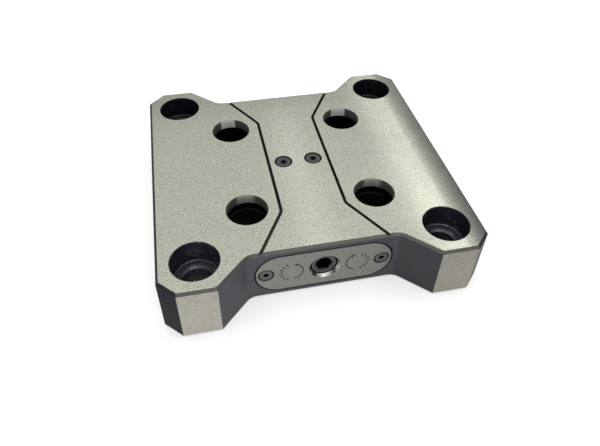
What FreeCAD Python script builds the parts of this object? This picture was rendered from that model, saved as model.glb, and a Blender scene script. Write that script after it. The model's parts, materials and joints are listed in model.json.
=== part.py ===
import FreeCAD, Part
import math
import os
import re

import Sketcher

# Zero point adapter plate, in millimetres. +Z is up, the origin is at the middle of the
# underside, and the oval cover with the drive spindle is at the front, towards -Y.

SIZES = {
    # plate outline
    "plate_width": 124.0,
    "plate_depth": 124.0,
    "plate_thickness": 25.0,
    "corner_bevel": 6.5,
    "edge_break": 1.0,
    "waist_width": 58.0,
    "waist_depth": 12.2,
    "waist_fillet": 6.0,
    # corner holes for the screws of the lower studs
    "hole_pitch": 96.0,
    "cap_bore_radius": 9.0,
    "cap_bore_depth": 10.0,
    "cap_mouth_break": 0.25,
    "cap_seat_break": 1.2,
    "bolt_hole_radius": 5.5,
    "pilot_radius": 8.0,
    "pilot_depth": 3.0,
    "mouth_break": 0.4,
    # bores for the upper studs
    "stud_pitch": 52.0,
    "stud_radius": 8.0,
    "stud_land": 4.0,
    "stud_relief": 0.6,
    # shallow grooves in the top face
    "groove_width": 1.3,
    "groove_depth": 0.8,
    "groove_setback": 13.0,
    "groove_knee": 29.5,
    "groove_angle": 30.0,
    "groove_bend": 4.0,
    # pocket for the slides, open below
    "wing_deck": 7.8,
    "end_wall": 11.8,
    "pocket_corner": 4.0,
    # clearances
    "seat_gap": 0.05,
    "running_gap": 0.05,
    "slide_gap": 0.1,
    "side_gap": 0.15,
    "end_gap": 1.0,
    "open_gap": 0.3,
    # spindle, on an axis below the top face
    "drive_depth": 12.5,
    "channel_rise": 7.7,
    "travel": 2.25,
    "shank_radius": 5.3,
    "front_thread_radius": 6.0,
    "rear_thread_radius": 5.0,
    "neck_radius": 3.6,
    "journal_radius": 3.9,
    "spindle_recess": 1.25,
    "spindle_break": 0.5,
    "hex_width": 6.0,
    "hex_depth": 7.0,
    "hex_mouth": 0.4,
    "hex_mouth_angle": 60.0,
    # centre fork
    "fork_thickness": 7.0,
    "fork_drop": 7.3,
    "fork_screw_pitch": 13.0,
    "fork_screw_length": 12.0,
    "fork_dowel_pitch": 21.2,
    "fork_dowel_radius": 1.5,
    "fork_dowel_depth": 2.5,
    "fork_dowel_length": 7.0,
    # slides and nuts
    "hub_half_width": 13.0,
    "hub_drop": 7.5,
    "wing_overhang": 10.5,
    "wing_thickness": 7.5,
    "jaw_setback": 5.0,
    "jaw_gap": 0.15,
    "jaw_bevel": 1.5,
    "slide_corner": 4.5,
    "nut_inset": 14.0,
    "nut_length": 14.0,
    "nut_half_width": 9.5,
    "spindle_passage": 0.5,
    # front bush, rear bush and seal
    "bush_radius": 7.5,
    "bush_length": 5.0,
    "bush_lip": 0.9,
    "seal_section": 0.75,
    "seal_room": 1.7,
    "rear_bush_radius": 6.0,
    "rear_bush_length": 5.0,
    # oval front cover
    "cover_length": 54.0,
    "cover_height": 19.4,
    "cover_plate": 4.0,
    "cover_gap": 0.2,
    "cover_break": 0.35,
    "cover_screw_pitch": 45.6,
    "cover_screw_length": 8.0,
    "cover_hole_gap": 0.1,
    "cover_sink_width": 0.75,
    "cover_sink_depth": 1.2,
    "gasket_thickness": 0.5,
    # bottom cover
    "bottom_plate": 3.0,
    "bottom_sink": 0.2,
    "bottom_rim": 8.5,
    "bottom_lap": 4.5,
    "bottom_wall": 7.2,
    "bottom_gap": 0.1,
    "side_screw_inset": 4.7,
    "side_screw_pitch": 20.0,
    "end_screw_inset": 5.0,
    "end_screw_pitch": 39.0,
    "bottom_screw_length": 8.0,
    # guide pads
    "pad_inner": 1.0,
    "pad_outer": 0.5,
    "pad_half_depth": 16.4,
    "pad_screw_inset": 7.0,
    "pad_screw_pitch": 20.0,
    "pad_screw_length": 7.0,
    # countersunk screws: shank, head and socket
    "large_shank": 2.0,
    "large_head": 3.3,
    "large_socket": 2.5,
    "small_shank": 1.5,
    "small_head": 2.65,
    "small_socket": 2.0,
    "hole_gap": 0.25,
    "head_gap": 0.1,
    "head_land": 0.1,
    "head_break": 0.15,
    "screw_sink": 0.2,
    "socket_depth": 1.5,
    "thread_run_out": 1.0,
}

NOTES = {
    "waist_width": "flat at the bottom of the waist; its flanks run out at 45 degrees",
    "groove_setback": "from the stud bores' axes to the straight leg of a groove",
    "groove_bend": "radius inside a groove's knee",
    "wing_deck": "steel left above the slides' wings",
    "end_wall": "steel between the waist face and the end of the channel",
    "drive_depth": "spindle axis below the top face",
    "channel_rise": "roof over the slides' hubs and the fork, above the spindle axis",
    "hex_mouth": "rim of the socket's countersink beyond the hexagon's corners",
    "hex_mouth_angle": "half the angle of that countersink",
    "travel": "way of each slide, one and a half turns of the 1.5 mm lead",
    "jaw_setback": "from the stud bores' axes to the wings' front edge, slides open",
    "bottom_wall": "steel between the bottom cover's recess and the corner pilots",
}

doc = FreeCAD.newDocument("zero_point_adapter_plate")
sheet = doc.addObject("Spreadsheet::Sheet", "Sizes")
for row, (alias, size) in enumerate(SIZES.items(), 1):
    sheet.set(f"A{row}", alias)
    sheet.set(f"B{row}", str(size))
    sheet.setAlias(f"B{row}", alias)
    sheet.set(f"C{row}", NOTES.get(alias, ""))
doc.recompute()

# Levels and distances that several pieces share, as expressions of the sizes
LEVELS = {
    "half_width": "(plate_width / 2)",
    "half_depth": "(plate_depth / 2)",
    "waist_face": "(plate_depth / 2 - waist_depth)",
    "drive_level": "(plate_thickness - drive_depth)",
    "wing_roof": "(plate_thickness - wing_deck)",
    "channel_roof": "(drive_level + channel_rise)",
    "floor_level": "(bottom_sink + bottom_plate)",
    "channel_end": "(waist_face - end_wall)",
    "channel_side": "(hub_half_width + side_gap)",
    "wing_half": "(stud_pitch / 2 + wing_overhang)",
    "wing_front": "(stud_pitch / 2 - jaw_setback)",
    "pocket_side": "(wing_half + end_gap)",
    "pocket_end": "(wing_front + travel + end_gap)",
    "bottom_side": "(pocket_side + bottom_rim)",
    "bottom_end": "(channel_end + bottom_lap)",
    "bottom_bevel": "(bottom_side + bottom_end - hole_pitch + sqrt(2) * (pilot_radius + bottom_wall))",
    "cover_floor": "(waist_face - cover_plate - gasket_thickness)",
    "bush_seat": "(cover_floor - bush_length)",
    "hub_face": "(fork_thickness / 2 + open_gap)",
    "hub_nose": "(channel_end - travel - end_gap)",
    "fork_half_width": "(hub_half_width - slide_gap)",
    "side_screw_x": "(bottom_side - side_screw_inset)",
    "end_screw_y": "(bottom_end - end_screw_inset)",
    "pad_near": "(hub_half_width + pad_inner)",
    "pad_far": "(pocket_side - pad_outer)",
    "pad_screw_x": "(pad_near + pad_screw_inset)",
    "groove_line": "(stud_pitch / 2 - groove_setback)",
    "groove_half": "(groove_width / 2)",
    "groove_mitre": "(groove_half * tan(groove_angle / 2))",
}


def cells(words):
    """An expression with every level written out and every size as its cell."""
    while re.search(r"\b(" + "|".join(LEVELS) + r")\b", words):
        words = re.sub(r"\b(" + "|".join(LEVELS) + r")\b", lambda m: LEVELS[m[0]], words)
    return re.sub(r"\b(" + "|".join(SIZES) + r")\b", r"Sizes.\1", words)


def value(words):
    """The number that an expression comes to."""
    return float(sheet.evalExpression(cells(words)))


def bind(thing, **sizes):
    """Tie properties of a document object to expressions."""
    for name, words in sizes.items():
        thing.setExpression(name.replace("__", "."), cells(words))


# Building blocks


def new_body(label, compound=False):
    body = doc.addObject("PartDesign::Body", label)
    body.Label = label
    body.AllowCompound = compound
    return body


def sketch_on(body, plane, level="0"):
    """A sketch on one of the body's own planes, moved along that plane's normal."""
    sketch = body.newObject("Sketcher::SketchObject", body.Name + "_sketch")
    support = next(item for item in body.Origin.OriginFeatures if item.Role == plane)
    sketch.AttachmentSupport = [(support, "")]
    sketch.MapMode = "FlatFace"
    bind(sketch, AttachmentOffset__Base__z=level)
    return sketch


def place(sketch, geometry, point, where):
    """Fix a point of the sketch at two distances from the sketch's origin."""
    for kind, words in zip(("DistanceX", "DistanceY"), where):
        constraint = Sketcher.Constraint(kind, -1, 1, geometry, point, value(words))
        number = sketch.addConstraint(constraint)
        sketch.setExpression(f"Constraints[{number}]", cells(words))


def polygon(sketch, corners):
    """A closed outline of straight lines through the corners."""
    points = [FreeCAD.Vector(value(x), value(y), 0) for x, y in corners]
    count = len(points)
    first = sketch.GeometryCount
    for index in range(count):
        sketch.addGeometry(Part.LineSegment(points[index], points[(index + 1) % count]), False)
    for index in range(count):
        following = first + (index + 1) % count
        sketch.addConstraint(Sketcher.Constraint("Coincident", first + index, 2, following, 1))
        place(sketch, first + index, 1, corners[index])


def rectangle(sketch, low, high):
    (left, bottom), (right, top) = low, high
    polygon(sketch, [(left, bottom), (right, bottom), (right, top), (left, top)])


def circle(sketch, centre, radius):
    x, y = centre
    middle = FreeCAD.Vector(value(x), value(y), 0)
    geometry = sketch.addGeometry(Part.Circle(middle, FreeCAD.Vector(0, 0, 1), value(radius)), False)
    place(sketch, geometry, 3, centre)
    number = sketch.addConstraint(Sketcher.Constraint("Radius", geometry, value(radius)))
    sketch.setExpression(f"Constraints[{number}]", cells(radius))


def oval(sketch, half_length, radius, level="0"):
    """Two half circles joined by two straight lines, along the sketch's X."""
    reach = f"({half_length} - {radius})"
    up, centre = FreeCAD.Vector(0, value(radius), 0), FreeCAD.Vector(value(reach), value(level), 0)
    other = FreeCAD.Vector(-centre.x, centre.y, 0)
    normal = FreeCAD.Vector(0, 0, 1)
    quarter = math.pi / 2
    right_circle, left_circle = Part.Circle(centre, normal, up.y), Part.Circle(other, normal, up.y)
    right = sketch.addGeometry(Part.ArcOfCircle(right_circle, -quarter, quarter), False)
    left = sketch.addGeometry(Part.ArcOfCircle(left_circle, quarter, 3 * quarter), False)
    top = sketch.addGeometry(Part.LineSegment(centre + up, other + up), False)
    bottom = sketch.addGeometry(Part.LineSegment(other - up, centre - up), False)
    for first, last in ((right, top), (top, left), (left, bottom), (bottom, right)):
        sketch.addConstraint(Sketcher.Constraint("Tangent", first, 2, last, 1))
    place(sketch, right, 3, (reach, level))
    place(sketch, left, 3, (f"-{reach}", level))
    number = sketch.addConstraint(Sketcher.Constraint("Radius", right, up.y))
    sketch.setExpression(f"Constraints[{number}]", cells(radius))


def feature(body, kind, name):
    return body.newObject("PartDesign::" + kind, body.Name + "_" + name)


def pad(body, sketch, name, length, midplane=False, backwards=False):
    step = feature(body, "Pad", name)
    step.Profile = sketch
    step.Midplane = midplane
    step.Reversed = backwards
    bind(step, Length=length)
    return finish(body, step, adds=True)


def pocket(body, sketch, name, length=None, midplane=False, backwards=False):
    """A cut against the sketch's normal, or along it when backwards; through all with no length."""
    step = feature(body, "Pocket", name)
    step.Profile = sketch
    step.Midplane = midplane
    step.Reversed = backwards
    if length is None:
        step.Type = "ThroughAll"
    else:
        bind(step, Length=length)
    return finish(body, step, adds=False)


def turned(body, sketch, name, cut=False):
    """The sketch turned once round its own vertical axis."""
    step = feature(body, "Groove" if cut else "Revolution", name)
    step.Profile = sketch
    step.ReferenceAxis = (sketch, ["V_Axis"])
    step.Angle = 360
    return finish(body, step, adds=not cut)


def fourfold(body, step, name):
    """The step repeated four times round the body's Z axis."""
    before = body.Shape.Volume
    pattern = feature(body, "PolarPattern", name)
    pattern.Originals = [step]
    axis = next(item for item in body.Origin.OriginFeatures if item.Role == "Z_Axis")
    pattern.Axis = (axis, [""])
    pattern.Angle = 360
    pattern.Occurrences = 4
    body.Tip = pattern
    doc.recompute()
    if body.Shape.Volume >= before:
        raise RuntimeError(f"{pattern.Name} cuts nothing")
    return pattern


def finish(body, step, adds):
    """Recompute and make sure that the step changed the volume the right way."""
    earlier = step.BaseFeature
    before = earlier.Shape.Volume if earlier else 0.0
    doc.recompute()
    change = step.Shape.Volume - before
    if change <= 0 if adds else change >= 0:
        raise RuntimeError(f"{step.Name} changes the volume by {change:.3f}")
    return step


def edges(step, test):
    """Names of the step's edges whose ends and middle all pass the test."""
    names = []
    for number, edge in enumerate(step.Shape.Edges, 1):
        middle = edge.valueAt((edge.FirstParameter + edge.LastParameter) / 2)
        points = [vertex.Point for vertex in edge.Vertexes] + [middle]
        if all(test(point) for point in points):
            names.append(f"Edge{number}")
    if not names:
        raise RuntimeError(f"no edge found on {step.Name}")
    return names


def dress(body, step, kind, name, test, size):
    """A fillet or a chamfer on the edges that pass the test."""
    dressed = feature(body, kind, name)
    dressed.Base = (step, edges(step, test))
    bind(dressed, **{"Radius" if kind == "Fillet" else "Size": size})
    doc.recompute()
    return dressed


def near(first, second):
    """Whether two places are the same within a hundredth."""
    return abs(first - second) < 0.01


def standing_at(x, y):
    """A test for upright edges at plus or minus x and y."""
    far, deep = value(x), value(y)
    return lambda point: near(abs(point.x), far) and near(abs(point.y), deep)


def screw_holes(body, sketch, name, shank, head, backwards=False):
    """Countersunk clearance holes through the body at the sketch's circles."""
    doc.recompute()
    step = feature(body, "Hole", name)
    step.Profile = sketch
    step.Reversed = backwards
    step.DepthType = "ThroughAll"
    step.HoleCutType = "Countersink"
    step.HoleCutCustomValues = True
    step.HoleCutCountersinkAngle = 90
    bind(step, Diameter=f"2 * ({shank} + hole_gap)",
         HoleCutDiameter=f"2 * ({head} + head_break + head_land + screw_sink + head_gap)")
    return finish(body, step, adds=False)


def screw_group(label, places, size, length):
    """Countersunk screws along the body's Z, their heads' flats at zero and their tips below."""
    shank, head, socket = size + "_shank", size + "_head", size + "_socket"
    body = new_body(label, compound=True)
    for number, (x, y) in enumerate(places):
        rim = feature(body, "AdditiveCone", f"rim_{number}")
        bind(rim, Radius1=head, Radius2=f"{head} - head_break", Height="head_break",
             Placement__Base__z="-head_break")
        land = feature(body, "AdditiveCylinder", f"land_{number}")
        bind(land, Radius=head, Height="head_land", Placement__Base__z="-(head_break + head_land)")
        cone = feature(body, "AdditiveCone", f"cone_{number}")
        bind(cone, Radius1=shank, Radius2=head, Height=f"{head} - {shank}")
        bind(cone, Placement__Base__z=f"-(head_break + head_land + {head} - {shank})")
        stem = feature(body, "AdditiveCylinder", f"stem_{number}")
        bind(stem, Radius=shank, Height=f"{length} - head_break - head_land",
             Placement__Base__z=f"-{length}")
        hexagon = feature(body, "SubtractivePrism", f"socket_{number}")
        hexagon.Polygon = 6
        bind(hexagon, Circumradius=f"{socket} / sqrt(3)", Height="socket_depth")
        bind(hexagon, Placement__Base__z="-socket_depth")
        for step in (rim, land, cone, stem, hexagon):
            bind(step, Placement__Base__x=x, Placement__Base__y=y)
    doc.recompute()
    return body


def face_forward(body, distance="0"):
    """Turn the body's own Z towards the front, on the spindle's axis, at a distance from it."""
    body.Placement = FreeCAD.Placement(FreeCAD.Vector(), FreeCAD.Rotation(FreeCAD.Vector(1, 0, 0), 90))
    bind(body, Placement__Base__y=f"-({distance})", Placement__Base__z="drive_level")


def both_signs(x, y):
    return [(f"{i}{x}", f"{j}{y}") for i in ("", "-") for j in ("", "-")]


BOTTOM_SCREWS = both_signs("side_screw_x", "side_screw_pitch / 2")
BOTTOM_SCREWS += both_signs("end_screw_pitch / 2", "end_screw_y")
PAD_SCREWS = both_signs("pad_screw_x", "pad_screw_pitch / 2")
FORK_SCREWS = [("-fork_screw_pitch / 2", "0"), ("fork_screw_pitch / 2", "0")]
FORK_DOWELS = [("-fork_dowel_pitch / 2", "0"), ("fork_dowel_pitch / 2", "0")]
COVER_SCREWS = [("-cover_screw_pitch / 2", "0"), ("cover_screw_pitch / 2", "0")]


def bottom_outline(sketch, gap="0"):
    """The bottom cover's octagon, drawn in by a gap all round."""
    side, end = f"(bottom_side - {gap})", f"(bottom_end - {gap})"
    bevel = f"(bottom_bevel - (2 - sqrt(2)) * {gap})"
    quarter = [(side, f"({end} - {bevel})"), (f"({side} - {bevel})", end)]
    corners = quarter + [(f"-{x}", y) for x, y in reversed(quarter)]
    corners += [(f"-{x}", f"-{y}") for x, y in quarter]
    corners += [(x, f"-{y}") for x, y in reversed(quarter)]
    polygon(sketch, corners)


# Where the straight edges of a groove meet at its knee, outside and inside the bend
KNEE_OUTSIDE = ("groove_line - groove_half", "groove_knee + groove_mitre")
KNEE_INSIDE = ("groove_line + groove_half", "groove_knee - groove_mitre")


def groove_outline(sketch, side):
    """A strip of even width: straight past the stud bores, then bent outwards at both knees."""
    end = "(waist_face + edge_break)"
    middle = f"(groove_line + ({end} - groove_knee) * tan(groove_angle))"
    spread = "groove_half / cos(groove_angle)"
    half_strip = [KNEE_OUTSIDE, (f"{middle} - {spread}", end), (f"{middle} + {spread}", end), KNEE_INSIDE]
    corners = half_strip + [(x, f"-({y})") for x, y in reversed(half_strip)]
    polygon(sketch, [(f"{side}({x})", y) for x, y in corners])


# Plate body

plate_body = new_body("plate_body")
outline = sketch_on(plate_body, "XY_Plane")
flank = "(waist_width / 2 + waist_depth)"
quarter = [
    ("half_width", "(half_depth - corner_bevel)"),
    ("(half_width - corner_bevel)", "half_depth"),
    (flank, "half_depth"),
    ("(waist_width / 2)", "waist_face"),
]
corners = quarter + [(f"-{x}", y) for x, y in reversed(quarter)]
corners += [(f"-{x}", f"-{y}") for x, y in quarter] + [(x, f"-{y}") for x, y in reversed(quarter)]
polygon(outline, corners)
block = pad(plate_body, outline, "block", "plate_thickness")
block = dress(plate_body, block, "Fillet", "waist_fillets",
              standing_at("waist_width / 2", "waist_face"), "waist_fillet")
top = value("plate_thickness")
block = dress(plate_body, block, "Chamfer", "edge_breaks",
              lambda point: near(point.z, 0) or near(point.z, top), "edge_break")

recess = sketch_on(plate_body, "XY_Plane")
bottom_outline(recess)
pocket(plate_body, recess, "bottom_recess", "floor_level", backwards=True)

wing_room = sketch_on(plate_body, "XY_Plane")
rectangle(wing_room, ("-pocket_side", "-pocket_end"), ("pocket_side", "pocket_end"))
step = pocket(plate_body, wing_room, "wing_room", "wing_roof", backwards=True)
dress(plate_body, step, "Fillet", "wing_room_corners", standing_at("pocket_side", "pocket_end"),
      "pocket_corner")

channel = sketch_on(plate_body, "XY_Plane")
rectangle(channel, ("-channel_side", "-channel_end"), ("channel_side", "channel_end"))
step = pocket(plate_body, channel, "channel", "channel_roof", backwards=True)
dress(plate_body, step, "Fillet", "channel_corners", standing_at("channel_side", "channel_end"),
      "pocket_corner")

# Each stud bore is a ground land at the top over a wider chamber down to the bottom cover
stud_bore = sketch_on(plate_body, "XZ_Plane", "stud_pitch / 2")
bind(stud_bore, AttachmentOffset__Base__x="stud_pitch / 2")
land_end = "(plate_thickness - stud_land)"
polygon(stud_bore, [
    ("0", "bottom_sink"),
    ("stud_radius + stud_relief", "bottom_sink"),
    ("stud_radius + stud_relief", f"{land_end} - stud_relief"),
    ("stud_radius", land_end),
    ("stud_radius", "plate_thickness - mouth_break"),
    ("stud_radius + mouth_break", "plate_thickness"),
    ("0", "plate_thickness"),
])
step = turned(plate_body, stud_bore, "stud_bore", cut=True)
fourfold(plate_body, step, "stud_bores")

# Each corner hole is a counterbore for a cap screw, a bolt hole, and a pilot for the stud below
corner_hole = sketch_on(plate_body, "XZ_Plane", "hole_pitch / 2")
bind(corner_hole, AttachmentOffset__Base__x="hole_pitch / 2")
seat = "(plate_thickness - cap_bore_depth)"
polygon(corner_hole, [
    ("0", "0"),
    ("pilot_radius + mouth_break", "0"),
    ("pilot_radius", "mouth_break"),
    ("pilot_radius", "pilot_depth"),
    ("bolt_hole_radius", "pilot_depth"),
    ("bolt_hole_radius", f"{seat} - cap_seat_break"),
    ("bolt_hole_radius + cap_seat_break", seat),
    ("cap_bore_radius - mouth_break", seat),
    ("cap_bore_radius", f"{seat} + mouth_break"),
    ("cap_bore_radius", "plate_thickness - cap_mouth_break"),
    ("cap_bore_radius + cap_mouth_break", "plate_thickness"),
    ("0", "plate_thickness"),
])
step = turned(plate_body, corner_hole, "corner_hole", cut=True)
fourfold(plate_body, step, "corner_holes")

for name, side in (("left", "-"), ("right", "")):
    groove = sketch_on(plate_body, "XY_Plane", "plate_thickness")
    groove_outline(groove, side)
    step = pocket(plate_body, groove, f"{name}_groove", "groove_depth")
step = dress(plate_body, step, "Fillet", "knees_inside", standing_at(*KNEE_INSIDE), "groove_bend")
dress(plate_body, step, "Fillet", "knees_outside", standing_at(*KNEE_OUTSIDE), "groove_bend + groove_width")

cover_recess = sketch_on(plate_body, "XZ_Plane", "waist_face")
oval(cover_recess, "(cover_length / 2 + cover_gap)", "(cover_height / 2 + cover_gap)", "drive_level")
pocket(plate_body, cover_recess, "cover_recess", "waist_face - cover_floor")

bush_seat = sketch_on(plate_body, "XZ_Plane", "cover_floor")
circle(bush_seat, ("0", "drive_level"), "bush_radius + seat_gap")
pocket(plate_body, bush_seat, "bush_seat", "bush_length")

bush_lip = sketch_on(plate_body, "XZ_Plane", "bush_seat")
circle(bush_lip, ("0", "drive_level"), "bush_radius - bush_lip")
pocket(plate_body, bush_lip, "bush_lip", "bush_seat - channel_end")

rear_seat = sketch_on(plate_body, "XZ_Plane", "-channel_end")
circle(rear_seat, ("0", "drive_level"), "rear_bush_radius + seat_gap")
pocket(plate_body, rear_seat, "rear_seat", "rear_bush_length + seat_gap")

cover_threads = sketch_on(plate_body, "XZ_Plane", "cover_floor")
for x, _ in COVER_SCREWS:
    circle(cover_threads, (x, "drive_level"), "small_shank + seat_gap")
pocket(plate_body, cover_threads, "cover_threads",
       "cover_screw_length - cover_plate - gasket_thickness + thread_run_out")

bottom_threads = sketch_on(plate_body, "XY_Plane", "floor_level")
for where in BOTTOM_SCREWS:
    circle(bottom_threads, where, "large_shank + seat_gap")
pocket(plate_body, bottom_threads, "bottom_threads",
       "bottom_screw_length - bottom_plate + thread_run_out", backwards=True)

dowel_holes = sketch_on(plate_body, "XY_Plane", "channel_roof")
for where in FORK_DOWELS:
    circle(dowel_holes, where, "fork_dowel_radius + seat_gap")
pocket(plate_body, dowel_holes, "dowel_holes", "fork_dowel_depth + seat_gap", backwards=True)

fork_holes = sketch_on(plate_body, "XY_Plane", "plate_thickness")
for where in FORK_SCREWS:
    circle(fork_holes, where, "large_shank + hole_gap")
screw_holes(plate_body, fork_holes, "fork_screw_holes", "large_shank", "large_head")

# Bottom cover, drawn from below, with its countersinks underneath

bottom_cover = new_body("bottom_cover")
plan = sketch_on(bottom_cover, "XY_Plane", "bottom_sink")
bottom_outline(plan, "bottom_gap")
pad(bottom_cover, plan, "plate", "bottom_plate")
for name, size, places in (("rim", "large", BOTTOM_SCREWS), ("pad", "small", PAD_SCREWS)):
    holes = sketch_on(bottom_cover, "XY_Plane", "bottom_sink")
    for where in places:
        circle(holes, where, f"{size}_shank + hole_gap")
    screw_holes(bottom_cover, holes, name + "_screw_holes", size + "_shank", size + "_head",
                backwards=True)

bottom_cover_screws = screw_group("bottom_cover_screws", BOTTOM_SCREWS, "large", "bottom_screw_length")
guide_pad_screws = screw_group("guide_pad_screws", PAD_SCREWS, "small", "pad_screw_length")
for body in (bottom_cover_screws, guide_pad_screws):
    body.Placement = FreeCAD.Placement(FreeCAD.Vector(), FreeCAD.Rotation(FreeCAD.Vector(1, 0, 0), 180))
    bind(body, Placement__Base__z="bottom_sink + screw_sink")

# Guide pads, one under the wings on each side of the channel

guide_pads = []
for name, side in (("left", "-"), ("right", "")):
    guide_pad = new_body(name + "_guide_pad")
    plan = sketch_on(guide_pad, "XY_Plane", "floor_level")
    rectangle(plan, (f"{side}pad_near", "-pad_half_depth"), (f"{side}pad_far", "pad_half_depth"))
    pad(guide_pad, plan, "block", "wing_roof - 2 * slide_gap - wing_thickness - floor_level")
    threads = sketch_on(guide_pad, "XY_Plane", "floor_level")
    for y in ("-pad_screw_pitch / 2", "pad_screw_pitch / 2"):
        circle(threads, (f"{side}pad_screw_x", y), "small_shank + seat_gap")
    pocket(guide_pad, threads, "threads", "pad_screw_length - bottom_plate + thread_run_out / 2",
           backwards=True)
    guide_pads.append(guide_pad)

# Oval front cover, its gasket and its screws

front_cover = new_body("front_cover")
face = sketch_on(front_cover, "XY_Plane")
oval(face, "(cover_length / 2)", "(cover_height / 2)")
step = pad(front_cover, face, "plate", "cover_plate", backwards=True)
dress(front_cover, step, "Chamfer", "rim", lambda point: near(point.z, 0), "cover_break")
spindle_hole = sketch_on(front_cover, "XZ_Plane")
hole_radius = "shank_radius + cover_hole_gap"
polygon(spindle_hole, [
    ("0", "-cover_plate"),
    (hole_radius, "-cover_plate"),
    (hole_radius, "-cover_sink_depth"),
    (f"{hole_radius} + cover_sink_width", "0"),
    ("0", "0"),
])
turned(front_cover, spindle_hole, "spindle_hole", cut=True)
holes = sketch_on(front_cover, "XY_Plane")
for where in COVER_SCREWS:
    circle(holes, where, "small_shank + hole_gap")
screw_holes(front_cover, holes, "screw_holes", "small_shank", "small_head")
face_forward(front_cover, "waist_face")

cover_gasket = new_body("cover_gasket")
face = sketch_on(cover_gasket, "XY_Plane")
oval(face, "(cover_length / 2)", "(cover_height / 2)")
circle(face, ("0", "0"), "shank_radius + 2 * seal_section - seat_gap")
for where in COVER_SCREWS:
    circle(face, where, "small_shank + hole_gap")
pad(cover_gasket, face, "sheet", "gasket_thickness")
face_forward(cover_gasket, "cover_floor")

front_cover_screws = screw_group("front_cover_screws", COVER_SCREWS, "small", "cover_screw_length")
face_forward(front_cover_screws, "waist_face - screw_sink")

# Spindle: hexagon end, right-hand thread, neck for the fork, left-hand thread, rear journal.
# Its own Z points forwards, so that the front end is at the top of the profile.

drive_spindle = new_body("drive_spindle")
profile = sketch_on(drive_spindle, "XZ_Plane")
front_end = "(waist_face - spindle_recess)"
neck_half = "(fork_thickness / 2 + running_gap)"
shank_end = "(bush_seat - running_gap)"
rear_end = "(channel_end + rear_bush_length - open_gap)"
thread_break = "(front_thread_radius - shank_radius)"
polygon(profile, [
    ("0", f"-{rear_end}"),
    ("journal_radius - spindle_break", f"-{rear_end}"),
    ("journal_radius", f"-({rear_end} - spindle_break)"),
    ("journal_radius", "-(channel_end - open_gap)"),
    ("rear_thread_radius", "-(channel_end - open_gap)"),
    ("rear_thread_radius", f"-{neck_half}"),
    ("neck_radius", f"-{neck_half}"),
    ("neck_radius", neck_half),
    ("front_thread_radius", neck_half),
    ("front_thread_radius", f"{shank_end} - {thread_break}"),
    ("shank_radius", shank_end),
    ("shank_radius", f"{front_end} - spindle_break"),
    ("shank_radius - spindle_break", front_end),
    ("0", front_end),
])
turned(drive_spindle, profile, "shaft")
socket = feature(drive_spindle, "SubtractivePrism", "socket")
socket.Polygon = 6
bind(socket, Circumradius="hex_width / sqrt(3)", Height="hex_depth",
     Placement__Base__z=f"{front_end} - hex_depth")
mouth = feature(drive_spindle, "SubtractiveCone", "socket_mouth")
mouth_radius = "(hex_width / sqrt(3) + hex_mouth)"
mouth_height = f"(({mouth_radius} - hex_width / 2) / tan(hex_mouth_angle))"
bind(mouth, Radius1="hex_width / 2", Radius2=mouth_radius, Height=mouth_height,
     Placement__Base__z=f"{front_end} - {mouth_height}")
face_forward(drive_spindle)

# Bushes and seal

front_bush = new_body("front_bush")
profile = sketch_on(front_bush, "XZ_Plane")
polygon(profile, [
    ("shank_radius + running_gap", "0"),
    ("bush_radius", "0"),
    ("bush_radius", "bush_length"),
    ("shank_radius + 2 * (seal_section + seat_gap)", "bush_length"),
    ("shank_radius + 2 * (seal_section + seat_gap)", "bush_length - seal_room"),
    ("shank_radius + running_gap", "bush_length - seal_room"),
])
turned(front_bush, profile, "ring")
face_forward(front_bush, "bush_seat")

spindle_seal = doc.addObject("Part::Torus", "spindle_seal")
spindle_seal.Label = "spindle_seal"
bind(spindle_seal, Radius1="shank_radius + seat_gap + seal_section", Radius2="seal_section")
face_forward(spindle_seal, "cover_floor - seal_room / 2")

rear_bush = new_body("rear_bush")
profile = sketch_on(rear_bush, "XZ_Plane")
rectangle(profile, ("journal_radius + running_gap", "0"), ("rear_bush_radius", "rear_bush_length"))
turned(rear_bush, profile, "ring")
face_forward(rear_bush, "-(channel_end + rear_bush_length)")

# Centre fork: it comes up from below round the spindle's neck, and its dowels and screws hold it

centre_fork = new_body("centre_fork")
face = sketch_on(centre_fork, "XZ_Plane")
rectangle(face, ("-fork_half_width", "drive_level - fork_drop"), ("fork_half_width", "channel_roof"))
pad(centre_fork, face, "block", "fork_thickness", midplane=True)
throat = "neck_radius + running_gap"
slot = sketch_on(centre_fork, "XZ_Plane")
rectangle(slot, (f"-({throat})", "drive_level"), (throat, "channel_roof + end_gap"))
pocket(centre_fork, slot, "slot", "2 * fork_thickness", midplane=True)
root = sketch_on(centre_fork, "XZ_Plane")
circle(root, ("0", "drive_level"), throat)
pocket(centre_fork, root, "slot_root", "2 * fork_thickness", midplane=True)
holes = sketch_on(centre_fork, "XY_Plane", "channel_roof")
for where in FORK_SCREWS:
    circle(holes, where, "large_shank + seat_gap")
pocket(centre_fork, holes, "threads",
       "fork_screw_length - (plate_thickness - channel_roof) + thread_run_out")
holes = sketch_on(centre_fork, "XY_Plane", "channel_roof")
for where in FORK_DOWELS:
    circle(holes, where, "fork_dowel_radius + seat_gap")
pocket(centre_fork, holes, "dowel_holes", "fork_dowel_length - fork_dowel_depth + seat_gap")

centre_fork_dowels = new_body("centre_fork_dowels", compound=True)
plan = sketch_on(centre_fork_dowels, "XY_Plane", "channel_roof + fork_dowel_depth")
for where in FORK_DOWELS:
    circle(plan, where, "fork_dowel_radius")
pad(centre_fork_dowels, plan, "pins", "fork_dowel_length", backwards=True)

centre_fork_screws = screw_group("centre_fork_screws", FORK_SCREWS, "large", "fork_screw_length")
bind(centre_fork_screws, Placement__Base__z="plate_thickness - screw_sink")

# Locking slides and their nuts: the rear pair is the front pair turned half round


def half_turn(body, turn):
    body.Placement = FreeCAD.Placement(FreeCAD.Vector(), FreeCAD.Rotation(FreeCAD.Vector(0, 0, 1), turn))


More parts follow.
